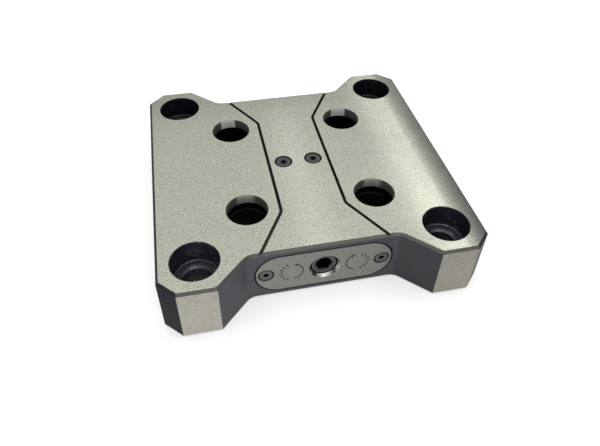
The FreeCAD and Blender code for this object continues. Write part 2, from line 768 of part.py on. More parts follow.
def locking_slide(label, turn):
    """A hub that runs in the channel and a wing each side, with a jaw for each stud's neck."""
    body = new_body(label)
    wing_top = "(wing_roof - slide_gap)"
    wings = sketch_on(body, "XY_Plane", f"{wing_top} - wing_thickness")
    rectangle(wings, ("-wing_half", "-wing_front"), ("wing_half", "-hub_face"))
    step = pad(body, wings, "wings", "wing_thickness")
    dress(body, step, "Fillet", "wing_corners", standing_at("wing_half", "wing_front"), "slide_corner")
    jaws = sketch_on(body, "XY_Plane", wing_top)
    for side in ("-", ""):
        circle(jaws, (f"{side}stud_pitch / 2", "-stud_pitch / 2"), "stud_radius + jaw_gap")
    step = pocket(body, jaws, "jaws", "wing_thickness")
    jaw_radius, jaw_x = value("stud_radius + jaw_gap"), value("stud_pitch / 2")
    underside = value(f"{wing_top} - wing_thickness")
    dress(body, step, "Chamfer", "jaw_bevels", lambda point: near(point.z, underside) and near(
        math.hypot(abs(point.x) - jaw_x, point.y + jaw_x), jaw_radius), "jaw_bevel")
    hub = sketch_on(body, "XY_Plane", "drive_level - hub_drop")
    rectangle(hub, ("-hub_half_width", "-hub_nose"), ("hub_half_width", "-hub_face"))
    step = pad(body, hub, "hub", "channel_roof - open_gap - drive_level + hub_drop")
    dress(body, step, "Fillet", "nose_corners", standing_at("hub_half_width", "hub_nose"),
          "slide_corner")
    passage = sketch_on(body, "XZ_Plane")
    circle(passage, ("0", "drive_level"), "front_thread_radius + spindle_passage")
    pocket(body, passage, "passage", backwards=True)
    window = sketch_on(body, "XY_Plane", "channel_roof")
    rectangle(window, ("-nut_half_width", "-(nut_inset + nut_length)"), ("nut_half_width", "-nut_inset"))
    pocket(body, window, "nut_window")
    half_turn(body, turn)
    return body


def slide_nut(label, thread_radius, turn):
    """A block that drops into its slide's window, bored for the spindle's thread."""
    body = new_body(label)
    block = sketch_on(body, "XZ_Plane", "nut_inset + slide_gap")
    side = "(nut_half_width - slide_gap)"
    rectangle(block, (f"-{side}", "drive_level - hub_drop"), (side, "channel_roof - 2 * open_gap"))
    circle(block, ("0", "drive_level"), f"{thread_radius} + running_gap")
    pad(body, block, "block", "nut_length - 2 * slide_gap")
    half_turn(body, turn)
    return body


front_slide = locking_slide("front_slide", 0)
rear_slide = locking_slide("rear_slide", 180)
front_nut = slide_nut("front_nut", "front_thread_radius", 0)
rear_nut = slide_nut("rear_nut", "rear_thread_radius", 180)

PIECES = [
    plate_body, bottom_cover, bottom_cover_screws, *guide_pads, guide_pad_screws, front_cover,
    cover_gasket, front_cover_screws, front_bush, spindle_seal, rear_bush, centre_fork,
    centre_fork_dowels, centre_fork_screws, drive_spindle, front_slide, front_nut, rear_slide, rear_nut,
]

doc.recompute()
for item in doc.Objects:
    if "Invalid" in item.State or "Error" in item.State:
        raise RuntimeError(f"{item.Name} did not recompute: {item.State}")
os.makedirs("parts", exist_ok=True)
for piece in PIECES:
    if piece.Shape.isNull() or not piece.Shape.isValid():
        raise RuntimeError(f"{piece.Label} has no valid shape")
    piece.Shape.exportStep(f"parts/{piece.Label}.step")
    print(f"{piece.Label}: {len(piece.Shape.Solids)} solid(s), {piece.Shape.Volume:.1f} mm3")
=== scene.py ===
"""Finishes, engraved marks and studio for the zero point adapter plate.

Everything is in metres, in the frame of the packed model: +Z out of the top face, the oval cover at -Y. Only
the finishes measure in millimetres. The panel in the sidebar has one button for each group of pieces, and
lists the sizes and colours.
"""

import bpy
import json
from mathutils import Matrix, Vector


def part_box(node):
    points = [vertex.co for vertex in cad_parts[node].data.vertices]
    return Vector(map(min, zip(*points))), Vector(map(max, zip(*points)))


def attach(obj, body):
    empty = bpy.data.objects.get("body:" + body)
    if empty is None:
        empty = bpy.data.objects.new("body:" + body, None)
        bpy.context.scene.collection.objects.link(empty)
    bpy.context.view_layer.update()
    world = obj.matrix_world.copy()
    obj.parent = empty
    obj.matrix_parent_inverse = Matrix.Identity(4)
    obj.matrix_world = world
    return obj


bl_info = {
    "name": "Zero point adapter plate",
    "version": (1, 0, 0),
    "blender": (4, 5, 0),
    "location": "View3D > Sidebar > Plate",
    "description": "Dresses the adapter plate in ground, blackened and turned steel and lights it",
    "category": "Object",
}

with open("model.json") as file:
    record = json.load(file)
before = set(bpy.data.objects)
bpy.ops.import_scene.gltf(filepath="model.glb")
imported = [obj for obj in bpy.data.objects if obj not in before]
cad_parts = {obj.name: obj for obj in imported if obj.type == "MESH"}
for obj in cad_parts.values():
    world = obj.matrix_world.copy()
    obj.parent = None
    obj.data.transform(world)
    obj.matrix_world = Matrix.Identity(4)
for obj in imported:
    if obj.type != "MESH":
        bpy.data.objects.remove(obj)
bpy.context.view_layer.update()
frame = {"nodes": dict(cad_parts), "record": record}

import json
import math

import bpy
import numpy as np
from bpy.props import FloatProperty, FloatVectorProperty, IntProperty, PointerProperty
from mathutils import Matrix, Vector

# Places and sizes that the packed model gives, in millimetres
TO_MM = 1000.0
MOUNTS = {mount["name"]: mount for mount in frame["record"]["mounts"]}
STUD_PLACE = abs(MOUNTS["stud_bore_front_left"]["pos_m"][0]) * TO_MM
STUD_RADIUS = MOUNTS["stud_bore_front_left"]["dims"]["r_mm"]
LAND_LENGTH = MOUNTS["stud_bore_front_left"]["dims"]["length_mm"]
BOLT_PLACE = MOUNTS["corner_bolts"]["dims"]["spacing_x_mm"] / 2
BOLT_RADIUS = MOUNTS["corner_bolts"]["dims"]["hole_r_mm"]
DRIVE_LEVEL = MOUNTS["hex_drive"]["pos_m"][2] * TO_MM
PLATE_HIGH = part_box("plate_body")[1] * TO_MM
COVER_LOW, COVER_HIGH = (corner * TO_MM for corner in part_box("front_cover"))
SPINDLE_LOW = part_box("drive_spindle")[0] * TO_MM
FORK_SCREWS_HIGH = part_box("centre_fork_screws")[1] * TO_MM
FORK_HEAD = FORK_SCREWS_HIGH.y
FORK_SCREW_PLACE = FORK_SCREWS_HIGH.x - FORK_HEAD
COVER_SCREWS_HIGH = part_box("front_cover_screws")[1] * TO_MM
COVER_HEAD = COVER_SCREWS_HIGH.z - DRIVE_LEVEL
COVER_SCREW_PLACE = COVER_SCREWS_HIGH.x - COVER_HEAD

# Sizes of the plate that its finishes follow and no box gives, in millimetres
EDGE_BREAK = 1.0
CORNER_BEVEL = 6.5
STUD_RELIEF = 0.6
MOUTH_BREAK = 0.4
CAP_RADIUS = 9.0
CAP_DEPTH = 10.0
RING_PITCH = 1.15
BOLT_THREAD = 1.5
GROOVE_DEPTH = 0.8
GROOVE_REACH = 31.0
GASKET = 0.5
COVER_SEAM = 0.45
SINK_GAP = 0.6

# Radii round the spindle's axis and lengths from its front end within which its details lie, in millimetres
DRIVE_MOUTH = 6.65
SPINDLE_RIM = 4.7
SPINDLE_BREAK = 0.55
KEY_MOUTH = 4.2
KEY_RADIUS = 3.6
KEY_DEPTH = 8.0
LATHE_PITCH = 0.25

# How far a mask reaches past the shape that it covers, or ends short of the top face, in millimetres
MARGIN = 0.1
FACE_MARGIN = 0.06
FINE_MARGIN = 0.05
SKIN = 0.02

# Part of a face's normal along an axis: above the first it faces that way, between the others it slants
SQUARE = 0.90
SLANTED = (0.30, 0.90)
BROKEN_EDGE = (0.60, 0.80)

# The smaller metal pieces: their finish, and the radii in metres that their edges seem to have
METALLIC = 0.90
FINE_EDGE = 0.00012
SCREW_EDGE = 0.00015
WORKED_EDGE = 0.00025

# How finely a noise is broken up
PLAIN_DETAIL = 2.0
FINE_DETAIL = 3.0

# Engraved marks: angles in degrees to each side of the middle, half width of an arrow's head in strokes, and
# lengths in metres
ARROW_SWEEP = 80
ARROW_POINTS = 60
ARROW_FLARE = 1.6
ARROW_TIP = 0.00001
TICK_SWEEP = 66
MARK_PROUD = 0.00001

# Stage: the sensor in millimetres, the floor and the middle of the underside in metres
SENSOR_WIDTH = 36.0
FLOOR_HALF = 4.0
MIDDLE = (0.0, 0.0, 0.0)
WHITE = (1.0, 1.0, 1.0)

# Lamps: name, setting that gives the power, share of it, width and depth, place, and the point aimed at.
# Those without such a point hang overhead and face straight down. Where two of them cross, their heights
# differ.
LAMPS = (
    ("ceiling_panel", "panel", 1.00, (1.70, 1.85), (-0.11, 0.505, 0.95), None),
    ("near_panel", "panel", 0.08, (1.70, 1.00), (-0.11, 0.30, 0.93), None),
    ("right_strip", "strip", 1.00, (0.05, 1.60), (0.54, 0.90, 0.90), None),
    ("near_strip", "strip", 0.13, (0.05, 0.90), (0.54, 0.40, 0.88), None),
    ("middle_strip", "strip", 0.20, (0.05, 1.20), (0.22, 0.64, 0.90), None),
    ("front_lamp", "front", 1.00, (0.50, 0.50), (0.16, -0.75, 0.75), MIDDLE),
    ("side_lamp", "side", 1.00, (0.60, 0.60), (1.10, -0.20, 0.60), MIDDLE),
)


# Sizes and colours that a user would change
def colour(name, description, default):
    """A colour property with linear red, green and blue."""
    return FloatVectorProperty(name=name, description=description, subtype="COLOR", size=3, min=0.0, max=1.0,
                               default=default)


def share(name, description, default):
    """A property between 0 and 1."""
    return FloatProperty(name=name, description=description, subtype="FACTOR", min=0.0, max=1.0,
                         default=default)


def length(name, description, default):
    """A length property in metres."""
    return FloatProperty(name=name, description=description, subtype="DISTANCE", unit="LENGTH", min=0.0,
                         default=default, precision=5)


class PlateLook(bpy.types.PropertyGroup):
    """Ground and blackened steel of the plate."""

    ground: colour("Ground top", "Colour of the ground top and underside", (0.49, 0.50, 0.42))
    lug: colour("Ground lugs", "Colour of the ground lugs and sides", (0.335, 0.320, 0.278))
    land: colour("Bore lands", "Colour of the ground lands of the stud bores", (0.52, 0.52, 0.49))
    chamfer: colour("Edge break", "Colour of the edge break at the front and rear", (0.138, 0.138, 0.127))
    # The groove colour is the blackened steel darkened as painted shade in the narrow grooves
    groove: colour("Grooves", "Colour of the blackened grooves in the top", (0.040, 0.040, 0.034))
    # The corner colour is blackened steel darkened as painted shade, for the side edges, the corner bevels
    # and the right flank
    corner: colour("Corner bevels", "Colour of the blackened corner bevels", (0.010, 0.011, 0.013))
    blackened: colour("Blackened steel", "Colour of the milled, blackened faces", (0.078, 0.081, 0.088))
    # The hole colour is painted shade: near black in the stud bores, the gaps round the fork screws and the
    # seam
    hole: colour("Hole walls", "Colour of the blackened walls of the stud bores", (0.020, 0.023, 0.030))
    bore: colour("Corner bores", "Colour of the blackened walls of the corner bores", (0.052, 0.060, 0.084))
    glance: colour("Glance", "Tint of what the steel mirrors at a flat angle", (0.52, 0.52, 0.54))
    ground_roughness: share("Ground roughness", "Roughness of the ground faces", 0.17)
    roll: length("Roll-off", "Width of the strip at each side of the top that grinding has rolled off", 0.011)
    drop: length("Drop", "How far the rolled strip falls at the side", 0.0006)
    blackened_roughness: share("Blackened roughness", "Roughness of the blackened faces", 0.42)
    edge_radius: length("Edge radius", "Radius that the edges seem to have", 0.00018)
    wear: share("Edge wear", "How far the edges of the blackened faces are worn bare", 0.35)


class PartsLook(bpy.types.PropertyGroup):
    """Finishes of the cover, the screws, the drive and the parts inside."""

    cover: colour("Oval cover", "Colour of the matt oval cover", (0.224, 0.221, 0.201))
    bare: colour("Bare steel", "Colour of freshly turned bare steel", (0.78, 0.77, 0.74))
    screw: colour("Screws", "Colour of the blackened screws", (0.085, 0.085, 0.088))
    spindle: colour("Spindle", "Colour of the blackened drive spindle", (0.074, 0.081, 0.084))
    hardened: colour("Hardened steel", "Colour of the slides, the fork and its dowels", (0.07, 0.07, 0.07))
    bronze: colour("Bronze", "Colour of the nuts, bushes and pads", (0.26, 0.17, 0.08))
    rubber: colour("Rubber", "Colour of the seal and the gasket", (0.018, 0.018, 0.018))
    # The paint colour also serves as painted shade in the hexagon, the screw sockets and gaps, and the oval
    # cover's seam
    paint: colour("Paint", "Colour of the engraving and of the hexagon's inside", (0.010, 0.012, 0.018))


class MarkSizes(bpy.types.PropertyGroup):
    """Sizes of the rotation arrows and ticks engraved on the oval cover."""

    place: length("Place", "Distance of each arrow's centre from the spindle", 0.0128)
    radius: length("Radius", "Radius of the arrows", 0.0043)
    stroke: length("Stroke", "Width of the engraved line", 0.00052)
    head: length("Head", "Length of an arrow's head", 0.0017)
    depth: length("Depth", "Depth of the engraving", 0.00012)
    tick: length("Tick", "Length of a tick", 0.0015)
    ticks: IntProperty(name="Ticks", description="Ticks on the outer half of each ring", min=2, max=15,
                       default=7)


class StudioSetup(bpy.types.PropertyGroup):
    """Camera, lamps and floor."""

    camera: FloatVectorProperty(name="Camera", description="Place of the camera", subtype="TRANSLATION",
                                unit="LENGTH", default=(-0.04105, -0.18096, 0.17991))
    aim: FloatVectorProperty(name="Aim", description="Point that the camera looks at", subtype="TRANSLATION",
                             unit="LENGTH", default=(0.00068, -0.00141, 0.0125))
    roll: FloatProperty(name="Roll", description="Turn of the camera about its own axis", subtype="ANGLE",
                        unit="ROTATION", default=math.radians(1.39))
    lens: FloatProperty(name="Lens", description="Focal length in millimetres, on a sensor of 36 mm",
                        subtype="DISTANCE_CAMERA", default=33.53)
    shift: FloatProperty(name="Shift", description="Vertical shift of the lens", default=-0.0667)
    floor: colour("Floor", "Colour of the floor", (0.92, 0.92, 0.92))
    lift: share("Floor lift", "How much light of its own the floor adds for the camera and the steel", 0.30)
    horizon: share("Horizon", "Brightness of the room at the horizon", 1.0)
    walls: share("Walls", "Brightness of the room above the horizon", 0.50)
    panel: FloatProperty(name="Ceiling panel", description="Power of the wide panel overhead", unit="POWER",
                         default=3.85)
    strip: FloatProperty(name="Strip lamps", description="Power of the right strip; the others have a share",
                         unit="POWER", default=0.50)
    front: FloatProperty(name="Front lamp", description="Power of the lamp before the plate", unit="POWER",
                         default=0.85)
    side: FloatProperty(name="Side lamp", description="Power of the lamp to the right of the plate",
                        unit="POWER", default=0.6)


# Materials: sockets that can stand in sums, and one method for every other node
class Socket:
    """An output of a shader node. Each operator adds one Math node and gives its output."""

    def __init__(self, shader, output):
        self.shader = shader
        self.output = output

    def math(self, operation, *values):
        """A Math node of that operation on the values."""
        return self.shader.add("ShaderNodeMath", {"operation": operation}, values)

    def __add__(self, other):
        return self.math("ADD", self, other)

    def __radd__(self, other):
        return self.math("ADD", other, self)

    def __sub__(self, other):
        return self.math("SUBTRACT", self, other)

    def __rsub__(self, other):
        return self.math("SUBTRACT", other, self)

    def __mul__(self, other):
        return self.math("MULTIPLY", self, other)

    def __rmul__(self, other):
        return self.math("MULTIPLY", other, self)

    def __truediv__(self, other):
        return self.math("DIVIDE", self, other)

    def __abs__(self):
        return self.math("ABSOLUTE", self)

    def __pow__(self, other):
        return self.math("POWER", self, other)

    def pick(self, name):
        """Another output of the same node."""
        return Socket(self.shader, self.output.node.outputs[name])

    def either(self, other):
        """The larger of two numbers, which joins two masks."""
        return self.math("MAXIMUM", self, other)

    def past(self, limit, soft=0.05):
        """0 up to the limit, then a smooth step of width soft, and 1 beyond it."""
        settings = {"interpolation_type": "SMOOTHSTEP"}
        return self.shader.add("ShaderNodeMapRange", settings,
                               {"Value": self, "From Min": limit, "From Max": limit + soft})

    def up_to(self, limit, soft=0.05):
        """1 up to the limit and 0 beyond it."""
        return 1 - self.past(limit, soft)

    def within(self, low, high, soft=0.05):
        """1 between low and high."""
        return self.past(low, soft) * self.up_to(high, soft)

    def swing(self, amount):
        """A number from 0 to 1 as one that goes half the amount to each side of 0."""
        return (self - 0.5) * amount

    def ripple(self, pitch):
        """From 0 to 1 and back once in every pitch."""
        turns = self * (2 * math.pi / pitch)
        return self.math("SINE", turns) * 0.5 + 0.5


class Shader:
    """The node tree of one material, or of the world."""

    def __init__(self, owner):
        self.owner = owner
        self.owner.use_nodes = True
        self.tree = self.owner.node_tree

    def add(self, kind, settings, inputs):
        """A node of that kind: its settings are set first, then a value or a link on each socket."""
        node = self.tree.nodes.new(kind)
        for name, value in settings.items():
            setattr(node, name, value)
        pairs = inputs.items() if isinstance(inputs, dict) else enumerate(inputs)
        for key, value in pairs:
            if isinstance(value, Socket):
                self.tree.links.new(value.output, node.inputs[key])
            else:
                node.inputs[key].default_value = value
        return Socket(self, next(output for output in node.outputs if output.enabled))

    def point(self):
        """The point on the surface in millimetres, as a vector in the object's own frame."""
        here = self.add("ShaderNodeTexCoord", {}, {}).pick("Object")
        return self.add("ShaderNodeVectorMath", {"operation": "SCALE"}, {"Vector": here, "Scale": TO_MM})

    def parts(self, vector):
        """The three parts of a vector."""
        split = self.add("ShaderNodeSeparateXYZ", {}, {"Vector": vector})
        return split, split.pick("Y"), split.pick("Z")

    def facing(self):
        """The three parts of the face's own normal."""
        return self.parts(self.add("ShaderNodeNewGeometry", {}, {}).pick("True Normal"))

    def face(self, place, level, facing):
        """1 on a flat outer face at that level that faces the way in which place grows."""
        return place.past(level - FACE_MARGIN, FACE_MARGIN / 2) * facing.past(SQUARE)

    def radius(self, one, two):
        """Distance of the point from an axis, from its two offsets: the root of the sum of squares."""
        return (one * one + two * two) ** 0.5

    def off_oval(self, x, z):
        """Distance outside the oval cover's outline: that from its middle line, less half its height."""
        half_height = (COVER_HIGH.z - COVER_LOW.z) / 2
        beyond = (abs(x) - (COVER_HIGH.x - half_height)).either(0.0)
        return self.radius(beyond, z - DRIVE_LEVEL) - half_height

    def noise(self, point, size, detail=PLAIN_DETAIL):
        """Noise from 0 to 1 whose clouds measure size, three lengths in millimetres."""
        scale = tuple(1 / part for part in size)
        spread = self.add("ShaderNodeVectorMath", {"operation": "MULTIPLY"}, {0: point, 1: scale})
        return self.add("ShaderNodeTexNoise", {}, {"Vector": spread, "Scale": 1.0, "Detail": detail})

    def mix(self, mask, first, second):
        """first where the mask is 0 and second where it is 1, both colours."""
        return self.add("ShaderNodeMix", {"data_type": "RGBA"}, {0: mask, 6: flat(first), 7: flat(second)})

    def shade(self, tone, factor):
        """A colour times a number."""
        grey = self.add("ShaderNodeCombineXYZ", {}, (factor, factor, factor))
        settings = {"data_type": "RGBA", "blend_type": "MULTIPLY"}
        return self.add("ShaderNodeMix", settings, {0: 1.0, 6: flat(tone), 7: grey})

    def rounded(self, size):
        """The surface's normal with every edge rounded to that radius in metres, and how near an edge is.

        An edge is near where the rounded normal has turned away from the face's own: 1 less their product.
        """
        normal = self.add("ShaderNodeBevel", {"samples": 6}, {"Radius": size})
        true = self.add("ShaderNodeNewGeometry", {}, {}).pick("True Normal")
        turned = self.add("ShaderNodeVectorMath", {"operation": "DOT_PRODUCT"}, (normal, true))
        least_turn, soft = 0.01, 0.15
        return normal, (1 - turned.pick("Value")).past(least_turn, soft)

    def bump(self, height, normal):
        """The normal disturbed by a height in millimetres."""
        return self.add("ShaderNodeBump", {}, {"Height": height, "Distance": 1 / TO_MM, "Strength": 1.0,
                                               "Normal": normal})

    def surface(self, **sockets):
        """Puts values and links on the material's own Principled shader; _ stands for a space in a name."""
        principled = self.tree.nodes["Principled BSDF"]
        for name, value in sockets.items():
            socket = principled.inputs[name.replace("_", " ")]
            if isinstance(value, Socket):
                self.tree.links.new(value.output, socket)
            else:
                socket.default_value = flat(value)
        return self.owner


def flat(value):
    """A colour property as four numbers; anything else as it is."""
    if isinstance(value, (Socket, float, int)):
        return value
    return (*value, 1.0)


def dress(material, *nodes):
    """Gives a material to CAD nodes."""
    for node in nodes:
        frame["nodes"][node].material_slots[0].material = material


def new_material(name):
    """An empty material's shader."""
    return Shader(bpy.data.materials.new(name))


class PlatePoint:
    """A point on the plate in millimetres, its face's normal, and which hole it lies in."""

    def __init__(self, steel):
        self.place = steel.point()
        self.x, self.y, self.z = steel.parts(self.place)
        self.nx, self.ny, self.nz = steel.facing()
        self.across, self.along = abs(self.x), abs(self.y)
        self.right, self.rear = self.x.past(0.0), self.y.past(0.0)
        self.bolt_radius = steel.radius(self.across - BOLT_PLACE, self.along - BOLT_PLACE)
        stud_radius = steel.radius(self.across - STUD_PLACE, self.along - STUD_PLACE)
        fork_radius = steel.radius(self.across - FORK_SCREW_PLACE, self.along)
        self.in_stud = stud_radius.up_to(STUD_RADIUS + STUD_RELIEF + MARGIN)
        self.in_bolt = self.bolt_radius.up_to(CAP_RADIUS + MOUTH_BREAK)
        self.in_fork = fork_radius.up_to(FORK_HEAD + SINK_GAP)


class PlateGrain:
    """Marks in the plate's steel, as noises.

    Bands, hairlines and streaks run along X as the wheel did. Strokes run down the walls of the stud bores.
    The rest are spots, from the fine mottle to the wide clouds, and the specks inside some clouds are
    scratches and painted glints.
    """

    def __init__(self, steel, place):
        self.bands = steel.noise(place, (400.0, 6.0, 60.0))
        self.hairlines = steel.noise(place, (2.6, 0.30, 0.36))
        self.streaks = steel.noise(place, (2.6, 0.50, 0.60))
        self.strokes = steel.noise(place, (0.50, 0.50, 6.0))
        self.coarse = steel.noise(place, (1.6, 1.0, 1.0))
        self.mottle = steel.noise(place, (0.80, 0.42, 0.50), FINE_DETAIL)
        self.clouds = steel.noise(place, (14.0, 18.0, 14.0), FINE_DETAIL)
        specks = steel.noise(place, (0.9, 0.9, 0.5), FINE_DETAIL)
        self.scratch_glints = specks.past(0.55, 0.15) * self.clouds.past(0.45, 0.15)


def ground_faces(steel, at):
    """Masks of the outermost faces, which the wheel reached: the level ones and the upright ones."""
    top = steel.face(at.z, PLATE_HIGH.z, at.nz)
    underside = steel.face(0 - at.z, 0.0, 0 - at.nz)
    ends = steel.face(at.along, PLATE_HIGH.y, abs(at.ny))
    sides = steel.face(at.across, PLATE_HIGH.x, abs(at.nx))
    return top.either(underside), ends.either(sides)


def seam_shade(z, lowest, highest):
    """How dark the painted shadow in the seam round the oval cover is: lowest at its lower edge, highest in
    its upper part.
    """
    fade_start, fade_width = 7.0, 5.0
    return lowest + (highest - lowest) * z.past(DRIVE_LEVEL - fade_start, fade_width)


def land_gleam(at):
    """Brightness of the ground lands in the stud bores: a dim ring with a painted highlight near the middle.

    The painted highlight lies further right in the right bores. In the rear bores it is brighter and ends
    more sharply, and in the front ones it fades downwards. The broken edge above each land is painted darker
    as shade.
    """
    dim, edge_loss, shift = 0.24, 0.6, 1.2
    left_end, right_end, soft = -4.1 - 0.2 * at.rear, 2.4 - 0.3 * at.rear, 2.4 - 1.3 * at.rear
    beside = (at.across - STUD_PLACE) * at.x.math("SIGN", at.x) - shift * at.right
    depth = (PLATE_HIGH.z - at.z) / LAND_LENGTH
    strength = 1.05 + 0.65 * at.rear - 0.45 * depth * (1 - at.rear)
    patch = beside.within(left_end, right_end, soft) * strength
    return (dim + patch) * (1 - edge_loss * at.z.past(PLATE_HIGH.z - MOUTH_BREAK))


def ground_tone(at, grain):
    """Brightness of the ground top and underside.

    The fine mottle weakens to the right and the coarse one grows to the rear. Two patches between the right
    groove and the right side are painted a little darker as shade: one at the front, one from the middle
    to the rear.
    """
    mottling = 1.75 - 0.50 * at.x.past(10.0, 30.0)
    tone = 1 + grain.bands.swing(0.10) + grain.hairlines.swing(0.55)
    tone = tone + grain.mottle.swing(mottling) + grain.coarse.swing(0.45) * at.y.past(-30.0, 80.0)
    front_or_rear = at.y.past(-20.0, 30.0).either((0 - at.y).past(42.0, 14.0))
    patches = front_or_rear * at.x.past(15.0, 20.0) * at.x.up_to(47.0, 5.0)
    # Painted shade: two patches of the top between the right groove and the right side
    patch_shade = 0.11
    return tone * (1 - patch_shade * patches)


def plate_steel(look):
    """Ground where the wheel reached the outermost faces, blackened elsewhere, and painted near black as
    shade in the holes.
    """
    steel = new_material("plate_steel")
    at = PlatePoint(steel)
    grain = PlateGrain(steel, at.place)
    level, upright = ground_faces(steel, at)
    ground = level.either(upright)

    # Holes, grooves and the seam round the oval cover. The stud bores, the gaps round the fork screws and the
    # seam are painted near black as shade.
    broken = abs(at.nz).within(*BROKEN_EDGE)
    cut = at.z.within(PLATE_HIGH.z - GROOVE_DEPTH - MARGIN, PLATE_HIGH.z - SKIN)
    cut = cut * at.across.up_to(GROOVE_REACH) * (1 - at.in_stud.either(at.in_fork)) * (1 - broken)
    groove = cut * at.along.up_to(-COVER_LOW.y - EDGE_BREAK)
    pocket = at.y.within(COVER_LOW.y - MARGIN, COVER_HIGH.y + GASKET + MARGIN)
    seam = pocket * steel.off_oval(at.x, at.z).up_to(COVER_SEAM) * seam_shade(at.z, 0.2, 1.0)
    round_hole = at.in_stud.either(at.in_bolt).either(at.in_fork)
    hole = round_hole.either(seam)
    land_low = PLATE_HIGH.z - MOUTH_BREAK - LAND_LENGTH - FINE_MARGIN
    land = at.in_stud * at.z.within(land_low, PLATE_HIGH.z - FINE_MARGIN)

    # Broken edges, corner bevels and the slanted flank on the right. The side edges and the corner bevels are
    # painted near black as shade, the right front bevel lighter as a painted highlight, and the right flank
    # darker as painted shade. The front rim is the broken edge whose normal has little of X, and where a
    # groove runs out into the waist.
    rim = broken * (at.z.past(PLATE_HIGH.z - EDGE_BREAK) + at.z.up_to(EDGE_BREAK)) * (1 - round_hole)
    corner = at.across.past(PLATE_HIGH.x - CORNER_BEVEL - MARGIN)
    front_rim = (rim * abs(at.nx).up_to(0.60) * (1 - corner)).either(cut - groove)
    # Painted highlight: the right front corner bevel takes the lighter edge break colour
    right_bevel_highlight = corner * at.right * at.y.up_to(0.0) * at.nz.up_to(0.10)
    bevel_edge = 0.4 * rim * corner
    dark = rim.either(corner * (1 - ground)) * (1 - bevel_edge)
    # Painted shade: the slanted flank on the right is drawn a third of the way to the corner colour
    flank = at.right * (0 - at.nx).within(*SLANTED) * (1 - corner)

    # Seats of the corner screws: turned rings on the floor, a thread in the hole
    seat_low, seat_high = PLATE_HIGH.z - CAP_DEPTH - 1.5, PLATE_HIGH.z - CAP_DEPTH + 0.6
    seat = at.in_bolt * at.z.within(seat_low, seat_high) * at.nz.past(0.2)
    rings = at.bolt_radius.ripple(RING_PITCH) ** 3
    shank = at.bolt_radius.up_to(BOLT_RADIUS + MARGIN)
    thread = at.z.ripple(BOLT_THREAD) * shank

    # Strip at each side of the top that grinding has rolled off: the fall grows as the square of the
    # distance. Only the right one is painted darker and bluer as shade, most of all at the front.
    roll = look.roll * TO_MM
    fall = ((at.across - (PLATE_HIGH.x - roll)).either(0.0) / roll) ** 2
    rolled = fall * at.right * (0.50 - 0.006 * at.y)

    # Brightness of each finish
    tone = ground_tone(at, grain)
    lug_tone = 1 + grain.streaks.swing(0.55) + grain.mottle.swing(0.45)
    black_tone = 1 + grain.clouds.swing(0.30) + grain.mottle.swing(0.70)
    # Painted shade: the grooves are darkest from the middle to the rear and lighter towards the front
    groove_shade = 0.3 + (0 - at.y).past(20.0, 25.0)
    # Painted light and shade: the front corner bores are lighter, the rear ones darker, the holes below the
    # seats darker still
    bore_shade = (1.35 - 0.80 * at.rear) * (1 - 0.75 * shank)
    # Painted light and shade: the front rim is lighter where it faces left and darker where it faces right
    rim_side_shade = black_tone * (1 - 0.55 * at.nx)
    land_tone = land_gleam(at) * (0.7 + 0.6 * grain.strokes)

    # How strongly each of these shows; the specks and the seat rings are painted weaker at the rear as shade
    flank_shade = 0.33
    scratch_glint_share = 1 - 0.7 * at.rear
    ring_share = (0.06 + 0.62 * rings) * (1 - 0.65 * at.rear)
    thread_share = 0.04

    normal, edge = steel.rounded(look.edge_radius)
    base = steel.mix(dark, look.blackened, look.corner)
    base = steel.mix(flank * flank_shade, base, look.corner)
    base = steel.mix(right_bevel_highlight, base, look.chamfer)
    base = steel.mix(groove, base, steel.shade(look.groove, groove_shade))
    base = steel.mix(hole, base, look.hole)
    base = steel.mix(at.in_bolt, base, steel.shade(look.bore, bore_shade))
    base = steel.shade(base, black_tone)
    # Light specks in the corner bores: scratches and painted glints
    base = steel.mix(at.in_bolt * grain.scratch_glints * scratch_glint_share, base, look.land)
    base = steel.mix(seat * ring_share + thread * thread_share, base, look.lug)
    base = steel.mix(edge * look.wear * grain.mottle * (1 - hole), base, look.ground)
    base = steel.mix(front_rim, base, steel.shade(look.chamfer, rim_side_shade))
    base = steel.mix(land, base, steel.shade(look.land, land_tone))
    # The rolled strip on the right is painted darker and bluer as shade
    base = steel.mix(level, base, steel.shade(steel.mix(rolled, look.ground, look.bore), tone))
    base = steel.mix(upright, base, steel.shade(look.lug, lug_tone))

    # Gloss, and the heights of the marks in millimetres
    dull = look.blackened_roughness + grain.clouds.swing(0.12)
    bright = look.ground_roughness + grain.bands.swing(0.06)
    hairline_height, mottle_height, thread_height = 0.003, 0.010, 0.10
    height = grain.hairlines * ground * hairline_height + grain.mottle * (1 - ground) * mottle_height
    height = height + thread * thread_height - fall * level * (look.drop * TO_MM)
    return steel.surface(Base_Color=base, Roughness=dull * (1 - ground) + bright * ground,
                         Metallic=0.85 + 0.15 * ground - 0.55 * land, Specular_Tint=look.glance,
                         Normal=steel.bump(height, normal))


